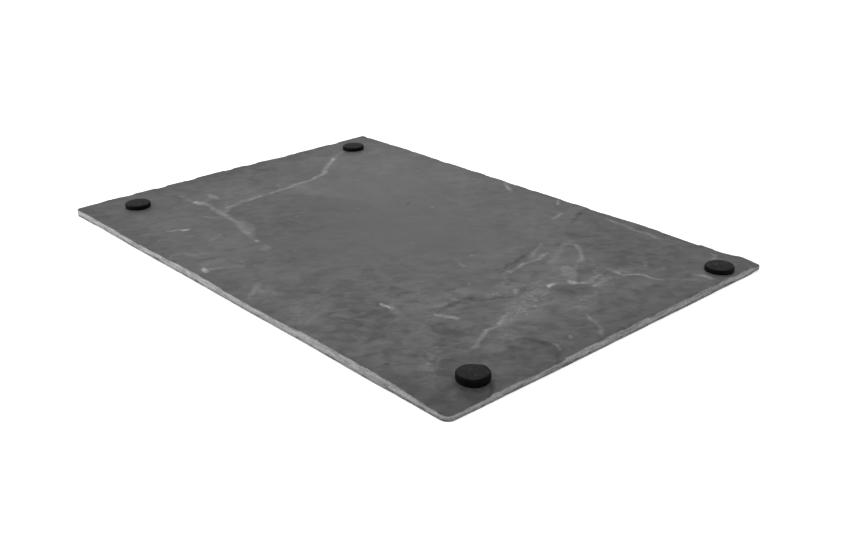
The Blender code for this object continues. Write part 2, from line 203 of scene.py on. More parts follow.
# Pale powdery veins and lips of the split face: strength, then points of (x, y, half width)
Stroke = namedtuple("Stroke", "strength points")
VEINS = (
    Stroke(0.15, ((-131, 72, 0.8), (-128, 66, 1.3), (-123, 58, 1.9), (-119, 52, 2.2), (-114, 46, 1.8))),
    Stroke(0.27, ((-116, 48.5, 1.6), (-113, 45, 2.0), (-107, 38, 1.8),
                  (-101, 31, 1.8), (-98, 22, 1.7), (-97, 10, 1.6), (-96, 0, 1.6), (-96, -14, 1.7),
                  (-95, -28, 1.6), (-92, -38, 1.7), (-86, -46, 1.2))),
    Stroke(0.60, ((-121, 55, 0.7), (-119, 52, 1.3), (-116, 49, 0.6))),
    Stroke(0.11, ((-127, -48, 1.4), (-120, -48, 2.2), (-113, -46.5, 2.0))),
    Stroke(0.24, ((-107, -45.5, 1.3), (-103, -45, 1.4), (-95, -45.5, 1.5), (-88, -46, 1.7), (-78, -47, 1.9),
                  (-69, -47.5, 2.1), (-60, -49.5, 2.9), (-53, -51.5, 2.3), (-46, -53.5, 1.3),
                  (-40, -54.5, 0.7))),
    Stroke(0.14, ((-68, -44.5, 1.8), (-60, -46.5, 2.6), (-54, -49, 2.2), (-47, -52, 1.2))),
    Stroke(0.46, ((-112, -46, 2.0), (-109, -45.3, 2.0))),
    Stroke(0.60, ((-42, -54, 0.6), (-39.5, -54.6, 0.9))),
    Stroke(0.14, ((-33, -56.5, 1.5), (-29, -57, 2.0))),
    Stroke(0.26, ((-118, -36, 1.4), (-113, -35.5, 2.3), (-109, -36.5, 1.0))),
    Stroke(0.28, ((-87, -56.5, 1.2), (-84.5, -52.5, 0.8))),
    Stroke(0.25, ((-82.5, -81, 0.8), (-81, -75, 1.0))),
    Stroke(0.10, ((-52.8, -96, 1.2), (-49.9, -91, 1.8), (-44.7, -87.7, 1.2))),
    Stroke(0.12, ((-45.2, -83.7, 0.8), (-41.7, -78.2, 1.0))),
    Stroke(0.12, ((-87.3, -91.1, 1.2), (-83.2, -84.6, 1.4))),
    Stroke(0.10, ((-75.1, -89.7, 1.2), (-73.8, -86.4, 1.2))),
    Stroke(0.16, ((-23.7, -91.7, 1.0), (-18.1, -80.3, 1.0), (-17.2, -78.1, 1.4))),
    Stroke(0.14, ((-22.4, -76.4, 0.7), (-21.9, -74.2, 0.8))),
    Stroke(0.08, ((-30.3, -90.7, 2.2), (-30.2, -82.7, 3.0))),
    Stroke(0.10, ((-57.6, -69.9, 1.4), (-60.7, -63.9, 1.0))),
    Stroke(0.12, ((-45.6, -68, 0.8), (-41, -63.3, 0.9))),
    Stroke(0.12, ((11, -88, 1.2), (16, -86, 2.6), (20, -84, 2.0))),
    Stroke(0.20, ((91, 29.5, 3.0), (97, 26, 3.2), (102, 21, 2.4))),
    Stroke(0.90, ((102.6, 18.6, 0.5), (105, 21, 0.5))),
    Stroke(0.08, ((109, 46, 2.4), (113, 50, 3.2), (116, 54, 2.6))),
    Stroke(0.25, ((122.6, 1.2, 0.8), (125.3, 4, 0.8))),
    Stroke(0.50, ((138.8, -22, 0.5), (140, -23, 0.6))),
    Stroke(0.22, ((-106, 3, 0.5), (-101, 2, 0.9), (-97, 1, 0.8))),
    Stroke(0.95, ((-78.4, -74, 0.6), (-77.2, -71.8, 0.9))),
    Stroke(0.90, ((-27, -93, 0.4), (-24, -94, 0.9), (-22, -95, 0.4))),
    Stroke(0.40, ((-15, 97, 0.8), (-12, 95, 1.1), (-7, 92, 1.0), (-2, 90, 0.6))),
    Stroke(0.45, ((25, 97, 0.5), (27, 95, 0.8), (30, 92, 0.4))),
    Stroke(0.35, ((40, 84, 0.6), (42, 79, 0.8), (43, 74, 0.9))),
    Stroke(0.40, ((53, -2, 0.4), (55, -3, 0.9), (57, -4, 0.4))),
    Stroke(1.00, ((62, -57, 0.7), (65, -57, 1.1), (68, -57, 0.6))),
    Stroke(0.10, ((66, -56, 1.5), (72, -58, 1.8), (80, -60, 0.5))),
    Stroke(0.34, ((72.5, 38, 0.5), (73, 33, 0.8), (73.5, 27, 1.0), (73.8, 20, 1.1), (74.5, 13, 1.0),
                  (75, 6, 1.2), (77, 2, 0.7))),
    Stroke(0.26, ((70.5, 27, 0.5), (68, 33, 0.9), (66, 38, 1.0), (62, 44, 0.7))),
    Stroke(0.14, ((77, 2, 0.8), (82, -2, 0.8), (88, -7, 0.8))),
    Stroke(0.27, ((70, 50, 0.6), (72, 53, 1.0), (76, 54, 1.1), (81, 51, 1.2), (86, 46, 1.1),
                  (91, 40, 1.0))),
    Stroke(0.14, ((91, 40, 0.9), (94, 33, 1.1), (98, 26, 1.3), (102, 19, 1.3))),
    Stroke(0.13, ((71, 49, 1.0), (75, 43, 1.4), (79, 35, 1.6), (82, 29, 1.0))),
    Stroke(0.60, ((102, 18, 0.7), (105, 19, 0.8), (108, 23, 0.8), (110, 25, 0.5))),
    Stroke(1.00, ((99.5, 12, 0.6), (100, 10, 1.0), (101, 8, 0.6))),
    Stroke(0.30, ((107.5, 36, 0.5), (106.5, 31, 0.9), (108, 25, 0.7))),
    Stroke(0.34, ((111, 34, 0.6), (111, 30, 0.9), (113, 23.5, 0.7))),
    Stroke(0.20, ((112, 35, 0.5), (113, 30, 0.7), (114, 25, 0.4))),
    Stroke(0.34, ((105, 43, 0.8), (110, 43, 0.9), (113, 42, 0.7))),
    Stroke(0.34, ((114, 42, 0.6), (117, 46, 1.0), (120, 48, 1.1), (126, 48, 0.8), (131, 52, 0.6))),
    Stroke(0.15, ((131, 52, 0.5), (137, 57, 0.7), (141, 62, 0.7))),
    Stroke(0.30, ((111, 62, 0.6), (113, 59, 0.7), (116, 57, 0.4))),
    Stroke(0.32, ((138, 66, 1.0), (141, 68, 1.4), (144, 67, 1.0))),
    Stroke(0.26, ((62, 94, 0.8), (68, 94, 1.2), (78, 92, 0.9), (88, 92, 0.8), (99, 91, 0.6))),
    Stroke(0.30, ((127.5, 92, 0.6), (130.5, 92, 0.9), (133, 87, 0.5))),
    Stroke(0.34, ((107, -24, 0.6), (110, -34, 1.0), (112, -43, 1.1), (115, -51, 0.9), (119, -58, 0.5))),
    Stroke(0.40, ((84, -46, 0.9), (88, -44, 1.6), (94, -43, 1.0))),
    Stroke(0.20, ((83, -49, 0.6), (86, -53, 0.6), (92, -61, 0.4))),
    Stroke(0.16, ((69, -29, 0.4), (75, -30, 0.5), (82, -32, 0.5))),
    Stroke(0.55, ((138.5, -31.6, 0.3), (140.7, -32.5, 0.6), (143, -34, 0.4))),
    Stroke(0.30, ((130, -1.6, 0.8), (134.8, -4.5, 0.7))),
    Stroke(0.24, ((136, -3.5, 0.6), (141, -7, 0.7), (146.6, -11.4, 0.7))),
    Stroke(0.14, ((48, -79, 0.5), (53, -87, 0.7), (57, -94, 0.4))),
    Stroke(0.16, ((6, -84, 0.8), (11, -90, 1.4), (16, -97, 0.8))),
    Stroke(0.30, ((91, -4, 0.8), (93, -7, 1.3), (95, -9, 0.8))),
)

# Dark cracks and creases, in the same way: painted shade, standing for the shadow in cracks and below
# ledges
CREASES = (
    Stroke(1.0, ((67, 29, 0.6), (68.5, 24.5, 1.6), (69.5, 18.2, 1.9), (70.3, 12, 1.6), (71.5, 8, 0.6))),
    Stroke(0.5, ((59, 44, 0.3), (62, 38, 0.4), (66, 31, 0.5))),
    Stroke(0.9, ((94.5, -11.7, 0.5), (92, -16, 0.6), (89.3, -21.5, 0.7), (86, -26.5, 0.7),
                 (82.6, -31.5, 0.5))),
    Stroke(0.55, ((82.6, -31.5, 0.3), (81.5, -36, 0.5), (82.4, -40, 0.5), (81.2, -47, 0.4))),
    Stroke(1.0, ((83, -36, 0.6), (83, -41, 0.7))),
    Stroke(0.9, ((129, -37.5, 0.3), (131.7, -35.5, 0.5), (135.4, -33.4, 0.6), (138.5, -33.2, 0.5))),
    Stroke(1.0, ((144.5, -37, 0.6), (147, -39.5, 0.9), (149.5, -42, 0.9))),
    Stroke(0.8, ((46, 91, 1.2), (48, 86, 1.0), (51, 79, 0.6), (55, 74, 0.3))),
    Stroke(1.0, ((106, -92.5, 1.0), (107.5, -92.5, 0.8))),
    Stroke(0.8, ((-27, 36, 1.0), (-26, 33, 0.8))),
    Stroke(1.0, ((143.5, -72.5, 0.7), (147, -75.6, 0.8), (150.7, -78.6, 1.0))),
    Stroke(0.35, ((-36.7, -89.4, 2.0), (-35.6, -80.5, 1.4))),
    Stroke(0.35, ((-48.3, -71.9, 1.0), (-47.3, -67.6, 0.9))),
    Stroke(0.50, ((-39.2, -72, 0.8), (-38.1, -69, 0.7))),
    Stroke(0.30, ((-50, -62.1, 0.7), (-48, -60, 0.7))),
    Stroke(0.35, ((-27.2, -79.6, 1.0), (-19.3, -76.8, 0.9))),
    Stroke(0.28, ((-21.6, -94, 2.5), (-13.2, -93, 3.0), (3.6, -93.1, 2.5))),
    Stroke(0.30, ((14.5, -93, 1.5), (16, -91, 1.2))),
    Stroke(0.60, ((-47, -99, 0.8), (-44, -99, 0.8))),
    Stroke(0.55, ((149.2, -24, 0.4), (149.4, 20, 0.6), (149.2, 50, 0.4))),
)

# Bands of fine pale and dark specks, in the same way
SPECK_BANDS = (
    Stroke(1.00, ((97, 6, 4), (103, -4, 6), (107, -14, 6), (110, -26, 4), (112, -36, 3))),
    Stroke(0.80, ((86, 0, 4), (89, -9, 4), (90, -16, 3))),
    Stroke(0.90, ((109, -70, 2), (116, -78, 3), (125, -87, 2.5))),
    Stroke(0.70, ((36, -84, 2.5), (43, -88, 2.5), (51, -93, 2))),
    Stroke(0.50, ((38, -77, 1.5), (46, -77, 1.5))),
    Stroke(0.60, ((102, -85, 1.5), (108, -90, 1.5))),
    Stroke(0.80, ((119, 10, 3), (123, 2, 4), (128, -1, 3))),
    Stroke(0.60, ((136, -19, 2.5), (141, -23, 2))),
    Stroke(0.70, ((119, -30, 2), (122, -42, 3), (124, -50, 2))),
    Stroke(0.70, ((74, -24, 3), (79, -32, 4), (81, -40, 4), (84, -50, 3))),
    Stroke(0.70, ((104, 40, 4), (110, 32, 6), (113, 22, 3))),
    Stroke(0.60, ((138, 70, 3), (144, 66, 4), (147, 70, 3))),
    Stroke(0.22, ((-58, -62, 4), (-50, -68, 6), (-38, -70, 5), (-24, -78, 5))),
    Stroke(0.20, ((-24, -90, 6), (-10, -86, 6))),
    Stroke(0.50, ((64, -38, 3), (69, -42, 3))),
    Stroke(0.50, ((55, -49, 2), (57, -54, 2))),
)

# Soft patches of the face that are paler (above 0) or darker (below 0): mostly the stone's own uneven tone,
# but some darker ones, along the near edge and at the right end, are painted shade
Patch = namedtuple("Patch", "x y reach_x reach_y turn amount")
TONE_PATCHES = (
    Patch(-90, 45, 40, 55, -20, 0.08),
    Patch(-72, 14, 26, 9, 20, 0.08),
    Patch(-88, 70, 7, 14, 0, 0.08),
    Patch(-92, 95, 6, 8, 0, 0.08),
    Patch(-45, 60, 50, 30, -35, 0.06),
    Patch(40, 60, 34, 7, -48, 0.10),
    Patch(100, 75, 36, 22, 0, -0.12),
    Patch(69, 64, 4, 5, 0, -0.12),
    Patch(130, 70, 24, 40, 0, -0.07),
    Patch(140, -15, 20, 50, 0, -0.15),
    Patch(122, -76, 50, 24, 0, -0.16),
    Patch(60, -75, 40, 16, 0, -0.10),
    Patch(15, -25, 16, 14, 0, -0.05),
    Patch(104, -10, 6, 26, 12, 0.05),
    Patch(86, 30, 7, 18, 32, 0.10),
    Patch(-112, -94, 50, 14, 0, -0.17),
    Patch(60, 20, 10, 12, 0, 0.12),
    Patch(-145, 10, 17, 110, 0, -0.27),
    Patch(-125, -62, 34, 28, 0, -0.09),
)
EDGE_TONE = -0.11
EDGE_TONE_REACH = 11.0
TONE_FADE = 1.2

# Where the split is rough (above 0) and where it is smooth (below 0)
ROUGH_PATCHES = (
    Patch(-10, 10, 62, 44, -15, -0.90),
    Patch(-60, 55, 50, 30, -20, -0.40),
    Patch(-110, -70, 50, 36, 0, -0.15),
    Patch(-45, -80, 60, 20, 0, -0.10),
    Patch(85, -60, 60, 40, 0, 1.05),
    Patch(105, 20, 36, 46, 0, 0.85),
)

# Rubber pads: sizes and places come from the solids
PAD_NODES = ("pad_front_left", "pad_front_right", "pad_back_left", "pad_back_right")
PAD_SIDES = 96
PAD_RIM = 0.75
PAD_RIM_STEPS = 5
PAD_CROWN = 0.12
PAD_RINGS = 7
PAD_COURSES = 4
PAD_DIMPLE = 0.05
PAD_DIMPLE_PITCH = 300.0
PAD_WEAR = 0.12
PAD_WORST_WEAR = {"pad_front_right": 0.55}
PAD_WEAR_PITCH = 170.0
PAD_WEAR_SHARE = 0.15
PAD_WOBBLE = 0.10
PAD_WOBBLE_PITCH = 1.6
ADHESIVE_HEIGHT = 0.9
ADHESIVE_STEP = 0.12
# How far each pad's top leans: its fall per millimetre along X and Y
PAD_LEANS = {"pad_front_right": (0.006, -0.008), "pad_back_right": (0.004, 0.003)}

# How finely the slab is divided: the split face and edge, and the serving face
FINE_CELL = 1.0
PLAIN_CELL = 2.0
WALL_CUTS = (0.8, 1.7, 2.6)
SERVING_SIDE = 0.45
WELD = 0.0001
SWELL_NONE = 0.3
SWELL_FULL = 0.6
SMOOTH_ANGLE = math.radians(32)

# Relief of the split surfaces: depth in millimetres and features per millimetre
UNDULATION = (0.10, 0.022)
RIPPLE = (0.045, 0.11)
RIPPLE_STRETCH = 0.4
GRAIN = (0.018, 0.55)
TERRACE_STEP = 0.055
TERRACE_COUNT = 7.0
TERRACE_PITCH = 0.016
TERRACE_FLAT = 0.85
SERVING_RELIEF = 0.8
SERVING_LEVEL = 0.10
SERVING_CALM = 14.0
SERVING_EDGE_SHARE = 0.3
WALL_HOLLOW = 0.16
WALL_PITCH = 0.13
WALL_REACH = 0.6
ARRIS_WEAR = 0.14
ARRIS_REACH = 1.0
ARRIS_PITCH = 0.22
ARRIS_SHARE = 0.35

# Where each kind of relief starts in the noise, so that no two of them follow each other
RIPPLE_OFFSET = 11
GRAIN_OFFSET = 23
TERRACE_OFFSET = 5
WALL_OFFSET = 3
ARRIS_OFFSET = 41
QUICK_OFFSET = 50
SERVING_OFFSET = 70
OFFSET_RISE = 0.37

# Softness of the painted features' edges, in millimetres
VEIN_SOFTNESS = 1.5
CREASE_SOFTNESS = 1.1
SPECK_SOFTNESS = 4.0

# How the painted lines and ledges wander: by how many millimetres, and bends per millimetre
SLOW_WANDER = (1.8, 0.11)
QUICK_WANDER = (0.7, 0.40)
WANDER_SEED = 87

# The fine grain of the split and its broader streaks run across the board at these angles
GRAIN_TURN = math.radians(25)
STREAK_TURN = math.radians(55)

# Fixed colours: the painted shade in a crease and on the edge, dust on the rubber, the floor
CREASE_SHADE = (0.012, 0.012, 0.012, 1)
EDGE_SHADE = (0.060, 0.061, 0.062, 1)
DUST_SMEAR = (0.050, 0.050, 0.048, 1)
DUST_SPECK = (0.30, 0.30, 0.29, 1)
FLOOR_COLOUR = (0.92, 0.92, 0.92, 1)
WHITE = (1, 1, 1, 1)

# The stage, in metres: the floor lies a hair under the board, and its faint glow keeps it white
FLOOR_HEIGHT = -0.00005
FLOOR_GLOW = 0.35
KEY_PLACE = (-0.50, -0.50, 0.20)
KEY_TARGET = (-0.12, -0.10, 0)
KEY_SIZE = 0.4

# How a material's nodes are laid out on its page
NODE_COLUMNS = 8
NODE_WIDTH = 190
NODE_HEIGHT = 260

# Camera of the photograph
CAMERA_PLACE = (0.39510, -0.32358, 0.20396)
CAMERA_HEADING = math.radians(48.688)
CAMERA_TILT = math.radians(90 - 23.259)
CAMERA_ROLL = math.radians(-1.153)
CAMERA_LENS = 45.50
SENSOR_WIDTH = 36.0


class SlabSettings(bpy.types.PropertyGroup):
    """What a user would change on the slate."""
    relief: bpy.props.FloatProperty(
        name="Relief", description="How strongly the split face rises and falls", default=1.0, min=0.0,
        subtype="FACTOR")
    fine_cell: bpy.props.FloatProperty(
        name="Fine cell", description="Spacing of the cuts over the split face", default=FINE_CELL * MM,
        unit="LENGTH")
    dark_colour: bpy.props.FloatVectorProperty(
        name="Dark slate", description="Darkest tone of the split face", default=(0.030, 0.030, 0.031),
        subtype="COLOR")
    pale_colour: bpy.props.FloatVectorProperty(
        name="Pale slate", description="Palest tone of the split face", default=(0.120, 0.120, 0.121),
        subtype="COLOR")
    vein_colour: bpy.props.FloatVectorProperty(
        name="Veins", description="Powdery veins and lips", default=(0.46, 0.46, 0.45), subtype="COLOR")
    edge_colour: bpy.props.FloatVectorProperty(
        name="Dressed edge", description="Freshly broken slate along the edge", default=(0.40, 0.402, 0.40),
        subtype="COLOR")


class PadSettings(bpy.types.PropertyGroup):
    """What a user would change on the rubber pads."""
    rim: bpy.props.FloatProperty(
        name="Rim", description="Rounding of each pad's upper edge", default=PAD_RIM * MM, unit="LENGTH")
    # The top's colour is partly painted light: it is paler than the side because it faces the light, as
    # well as worn
    lit_top_colour: bpy.props.FloatVectorProperty(
        name="Lit worn top", description="Rubber where it is rubbed", default=(0.0160, 0.0158, 0.0154),
        subtype="COLOR")
    # The side's colour is painted shade: far darker than the top, as if in shadow
    shaded_side_colour: bpy.props.FloatVectorProperty(
        name="Side", description="Rubber on the cut side", default=(0.0012, 0.0012, 0.0011),
        subtype="COLOR")


class StageSettings(bpy.types.PropertyGroup):
    """What a user would change on the stage."""
    floor_size: bpy.props.FloatProperty(
        name="Floor", description="Length of the floor's side", default=12.0, unit="LENGTH")
    world_strength: bpy.props.FloatProperty(
        name="Surround", description="Strength of the even light from all round", default=1.08)
    key_power: bpy.props.FloatProperty(
        name="Key light", description="Power of the soft light at the left", default=2.4, unit="POWER")


def select_only(*things):
    """Selects these objects alone and makes the first one active."""
    bpy.ops.object.select_all(action="DESELECT")
    for thing in things:
        thing.select_set(True)
    bpy.context.view_layer.objects.active = things[0]


def apply_modifier(thing, kind, **settings):
    select_only(thing)
    modifier = thing.modifiers.new(kind.lower(), kind)
    for name, value in settings.items():
        setattr(modifier, name, value)
    bpy.ops.object.modifier_apply(modifier=modifier.name)


def corner_arc(middle_x, middle_y, radius, start):
    """Points of a quarter circle, anticlockwise from the start angle in degrees."""
    points = []
    for step in range(CORNER_STEPS + 1):
        turn = math.radians(start + 90 * step / CORNER_STEPS)
        points.append((middle_x + radius * math.cos(turn), middle_y + radius * math.sin(turn)))
    return points


def board_outline():
    """The board's edge seen from above, anticlockwise from its left corner."""
    inset_x, inset_y, radius = LEFT_CORNER
    outline = corner_arc(-HALF_LENGTH + inset_x + radius, -HALF_WIDTH + inset_y + radius, radius, 180)
    outline += [(along, -HALF_WIDTH + inset) for along, inset in NEAR_LONG_SIDE]
    inset_x, inset_y, radius = NEAR_CORNER
    outline += corner_arc(HALF_LENGTH - inset_x - radius, -HALF_WIDTH + inset_y + radius, radius, 270)
    outline += [(HALF_LENGTH - inset, along) for along, inset in RIGHT_SIDE]
    inset_x, inset_y, radius = RIGHT_CORNER
    outline += corner_arc(HALF_LENGTH - inset_x - radius, HALF_WIDTH - inset_y - radius, radius, 0)
    outline += [(along, HALF_WIDTH - inset) for along, inset in FAR_LONG_SIDE]
    inset_x, inset_y, radius = FAR_CORNER
    outline += corner_arc(-HALF_LENGTH + inset_x + radius, HALF_WIDTH - inset_y - radius, radius, 90)
    outline += [(-HALF_LENGTH + inset, along) for along, inset in LEFT_SIDE]
    return outline


def plate(name, outline, low, high):
    """A flat plate between two heights, from an outline in millimetres."""
    curve = bpy.data.curves.new(name, "CURVE")
    curve.dimensions = "2D"
    curve.fill_mode = "BOTH"
    curve.extrude = (high - low) / 2
    spline = curve.splines.new("POLY")
    spline.points.add(len(outline) - 1)
    spline.use_cyclic_u = True
    for point, (x, y) in zip(spline.points, outline):
        point.co = (x, y, 0, 1)
    shape = bpy.data.objects.new(name, curve)
    shape.location.z = (low + high) / 2
    bpy.context.scene.collection.objects.link(shape)
    select_only(shape)
    bpy.ops.object.convert(target="MESH")
    bpy.ops.object.transform_apply(location=True, rotation=False, scale=False)
    bpy.ops.object.mode_set(mode="EDIT")
    bpy.ops.mesh.select_all(action="SELECT")
    bpy.ops.mesh.remove_doubles(threshold=WELD)
    bpy.ops.object.mode_set(mode="OBJECT")
    return bpy.context.object


def edge_chips(outline, spacing, source):
    """Small flakes broken off an arris, at uneven places along the board's edge."""
    reach = source.uniform(0, spacing)
    for start, end in zip(outline, outline[1:] + outline[:1]):
        start = Vector(start)
        run = Vector(end) - start
        along = run.normalized()
        inward = Vector((-along.y, along.x))
        while reach < run.length:
            middle = start + along * reach
            length = source.uniform(*CHIP_LENGTH)
            width = source.uniform(*CHIP_WIDTH)
            shape = [middle + along * length * share + inward * width * into for share, into in CHIP_SHAPE]
            depth = CHIP_WORN * source.uniform(*CHIP_DEPTH)
            yield Flake("chip", [tuple(point) for point in shape], tuple(middle), depth,
                        tuple(middle + inward * width), 0.0, CHIP_SOFTNESS)
            reach += spacing * source.uniform(*CHIP_SPREAD)
        reach -= run.length


def slice_faces(slab, above, spacing):
    """Divides the faces above or below the serving side's height into cells of this spacing."""
    bpy.ops.object.mode_set(mode="EDIT")
    bpy.ops.mesh.select_mode(type="FACE")
    bpy.ops.mesh.select_all(action="DESELECT")
    work = bmesh.from_edit_mesh(slab.data)
    for face in work.faces:
        face.select_set((face.calc_center_median().z > SERVING_SIDE) != above)
    bmesh.update_edit_mesh(slab.data)
    bpy.ops.mesh.hide(unselected=False)
    for half_span, normal in ((HALF_LENGTH, (1, 0, 0)), (HALF_WIDTH, (0, 1, 0))):
        count = round(2 * half_span / spacing)
        for step in range(1, count):
            place = -half_span + step * 2 * half_span / count
            bpy.ops.mesh.select_all(action="SELECT")
            bpy.ops.mesh.bisect(plane_co=Vector(normal) * place, plane_no=normal, threshold=WELD)
    bpy.ops.mesh.reveal(select=False)
    bpy.ops.object.mode_set(mode="OBJECT")


def slice_wall(slab):
    """Cuts the edge into a few courses, one above the other."""
    bpy.ops.object.mode_set(mode="EDIT")
    for height in WALL_CUTS:
        bpy.ops.mesh.select_all(action="SELECT")
        bpy.ops.mesh.bisect(plane_co=(0, 0, height), plane_no=(0, 0, 1), threshold=WELD)
    bpy.ops.object.mode_set(mode="OBJECT")


def reach_to(points, route):
    """How far each point stands outside a route of varying half width, below 0 inside it."""
    nearest = np.full(len(points), np.inf)
    for start, end in zip(route, route[1:]):
        begin = np.array(start[:2], float)
        run = np.array(end[:2], float) - begin
        share = np.clip((points - begin) @ run / (run @ run), 0, 1)
        away = np.linalg.norm(points - begin - share[:, None] * run, axis=1)
        nearest = np.minimum(nearest, away - (start[2] + share * (end[2] - start[2])))
    return nearest


def edge_measures(points, outline):
    """Each point's distance from the board's edge and the way inwards from the nearest side."""
    nearest = np.full(len(points), np.inf)
    inward = np.zeros((len(points), 2))
    for start, end in zip(outline, outline[1:] + outline[:1]):
        begin = np.array(start, float)
        run = np.array(end, float) - begin
        share = np.clip((points - begin) @ run / (run @ run), 0, 1)
        away = np.linalg.norm(points - begin - share[:, None] * run, axis=1)
        closer = away < nearest
        nearest[closer] = away[closer]
        inward[closer] = np.array((-run[1], run[0])) / np.linalg.norm(run)
    return nearest, inward


def inside(points, outline):
    """Which points lie within an outline."""
    within = np.zeros(len(points), bool)
    for (x1, y1), (x2, y2) in zip(outline, outline[1:] + outline[:1]):
        if y1 == y2:
            continue
        spans = (points[:, 1] > min(y1, y2)) & (points[:, 1] <= max(y1, y2))
        crossing = x1 + (points[:, 1] - y1) * (x2 - x1) / (y2 - y1)
        within ^= spans & (points[:, 0] < crossing)
    return within


def soft_step(value):
    share = np.clip(value, 0, 1)
    return share * share * (3 - 2 * share)


def noise_field(points, pitch, octaves, offset):
    """Smooth noise from about -1 to 1 at each point, with this many features per millimetre."""
    shift = Vector((offset, -offset, OFFSET_RISE * offset))
    return np.array([
        noise.fractal(Vector(point) * pitch + shift, 1.0, 2.0, octaves, noise_basis="PERLIN_ORIGINAL")
        for point in points])


def swell_field(points):
    """How far the split face stands above or below its mean plane, in millimetres."""
    height = np.zeros(len(points))
    for swell in SWELLS:
        away = np.hypot(points[:, 0] - swell.x, points[:, 1] - swell.y) / swell.reach
        height += swell.height * np.exp(-away * away)
    return height


def terrace_field(points, offset):
    """Thin broken layers, like contour lines: each level ends in a small ragged lip."""
    level = TERRACE_COUNT * noise_field(points, TERRACE_PITCH, 4, offset)
    whole = np.floor(level)
    return TERRACE_STEP * (whole + soft_step((level - whole - TERRACE_FLAT) / (1 - TERRACE_FLAT)))


def split_relief(points, offset):
    """The fine rise and fall of a split face, in millimetres."""
    depth, pitch = UNDULATION
    height = depth * noise_field(points, pitch, 3, offset)
    depth, pitch = RIPPLE
    along = np.array((math.cos(GRAIN_TURN), math.sin(GRAIN_TURN), 0))
    drawn_out = points - RIPPLE_STRETCH * (points @ along)[:, None] * along
    height += depth * noise_field(drawn_out, pitch, 3, offset + RIPPLE_OFFSET)
    depth, pitch = GRAIN
    height += depth * noise_field(points, pitch, 2, offset + GRAIN_OFFSET)
    return height + terrace_field(points, offset + TERRACE_OFFSET)


def wander(points, amounts, offset):
    """The same places moved about by smooth noise, so that lines measured from them come out uneven."""
    reach, pitch = amounts
    shift = Vector((offset, offset, 0))
    noise.seed_set(WANDER_SEED)
    moves = [noise.noise_vector(Vector((*point, 0)) * pitch + shift)[:2] for point in points]
    return points + reach * np.array(moves)


def bent_places(points):
    """The same places moved about twice, in broad bends and in small ones."""
    return wander(wander(points, SLOW_WANDER, 0), QUICK_WANDER, QUICK_OFFSET)


def flake_cover(points, flake):
    """How far each point lies within a flake's scar, from 0 to 1, and how far across its fade."""
    outline = list(flake.outline)
    edge, _ = edge_measures(points, outline)
    edge = np.where(inside(points, outline), edge, -edge)
    deepest = np.array(flake.deepest, float)
    fade = np.array(flake.fades_to, float) - deepest
    faded = (points - deepest) @ fade / (fade @ fade)
    return soft_step(0.5 + edge / flake.soft), faded


def scar_depth(points, flakes):
    """How far below the face each point lies where flakes have come off it, in millimetres."""
    depth = np.zeros(len(points))
    for flake in flakes:
        low = np.min(flake.outline, axis=0) - flake.soft
        high = np.max(flake.outline, axis=0) + flake.soft
        near = np.all((points > low) & (points < high), axis=1)
        cover, faded = flake_cover(points[near], flake)
        scar = flake.depth * cover * np.clip(1 - faded, 0, FLAKE_LIMIT)
        depth[near] = np.maximum(depth[near], scar)
    return depth


def face_lift(points, flakes, chips, relief, offset):
    """How far a split face stands above its mean plane: fine relief less the scars of flakes and chips."""
    level = np.column_stack((points, np.zeros(len(points))))
    scars = np.maximum(scar_depth(bent_places(points), flakes), scar_depth(points, chips))
    return relief * split_relief(level, offset) - scars


def relieve(slab, outline, relief, upper_chips, lower_chips):
    """Moves the slab's points: swells and relief on the split face, relief on the serving face, hollows on
    the edge, a worn arris.
    """
    count = len(slab.data.vertices)
    flat = np.empty(count * 3)
    slab.data.vertices.foreach_get("co", flat)
    points = flat.reshape(count, 3)
    places = points[:, :2]
    away, inward = edge_measures(places, outline)
    height = points[:, 2] / THICKNESS
    upper = np.clip((height - SWELL_NONE) / (SWELL_FULL - SWELL_NONE), 0, 1)
    lower = np.clip((SWELL_NONE - height) / SWELL_NONE, 0, 1)
    top = upper > 0
    foot = lower > 0
    courses = points * np.array((WALL_PITCH, WALL_PITCH, 1.0))
    hollow = WALL_HOLLOW * (0.5 + 0.5 * noise_field(courses, 1.0, 3, WALL_OFFSET))
    on_edge = soft_step(1 - away / WALL_REACH)
    level = np.column_stack((places, np.zeros(count)))
    wear = soft_step(1 - away / ARRIS_REACH) * ARRIS_WEAR
    wear *= np.clip(ARRIS_SHARE + noise_field(level, ARRIS_PITCH, 3, ARRIS_OFFSET), 0, 1)
    moved = points.copy()
    lift = swell_field(places[top]) + face_lift(places[top], UNDERSIDE_FLAKES, upper_chips, relief, 0)
    moved[top, 2] += upper[top] * (lift - wear[top])
    calm = SERVING_EDGE_SHARE + (1 - SERVING_EDGE_SHARE) * soft_step(away[foot] / SERVING_CALM)
    serving = face_lift(places[foot], SERVING_FACE_FLAKES, lower_chips, relief * SERVING_RELIEF,
                        SERVING_OFFSET)
    moved[foot, 2] += lower[foot] * calm * np.maximum(0, SERVING_LEVEL - serving + wear[foot])
    moved[:, :2] += inward * (on_edge * hollow)[:, None]
    slab.data.vertices.foreach_set("co", moved.ravel())
    return points, away


def strongest(points, lines, softness):
    """Each point's share of the strongest line near it, and that line's strength."""
    share = np.zeros(len(points))
    strength = np.zeros(len(points))
    for line in lines:
        near = np.clip(0.5 - reach_to(points, line.points) / (2 * softness), 0, 1)
        stronger = near * line.strength > share * strength
        share[stronger] = near[stronger]
        strength[stronger] = line.strength
    return share, strength


def patch_field(points, patches):
    """The soft patches' amounts at each point, added up."""
    total = np.zeros(len(points))
    for patch in patches:
        turn = math.radians(patch.turn)
        x = points[:, 0] - patch.x
        y = points[:, 1] - patch.y
        along = (x * math.cos(turn) + y * math.sin(turn)) / patch.reach_x
        across = (y * math.cos(turn) - x * math.sin(turn)) / patch.reach_y
        total += patch.amount * np.exp(-along * along - across * across)
    return total


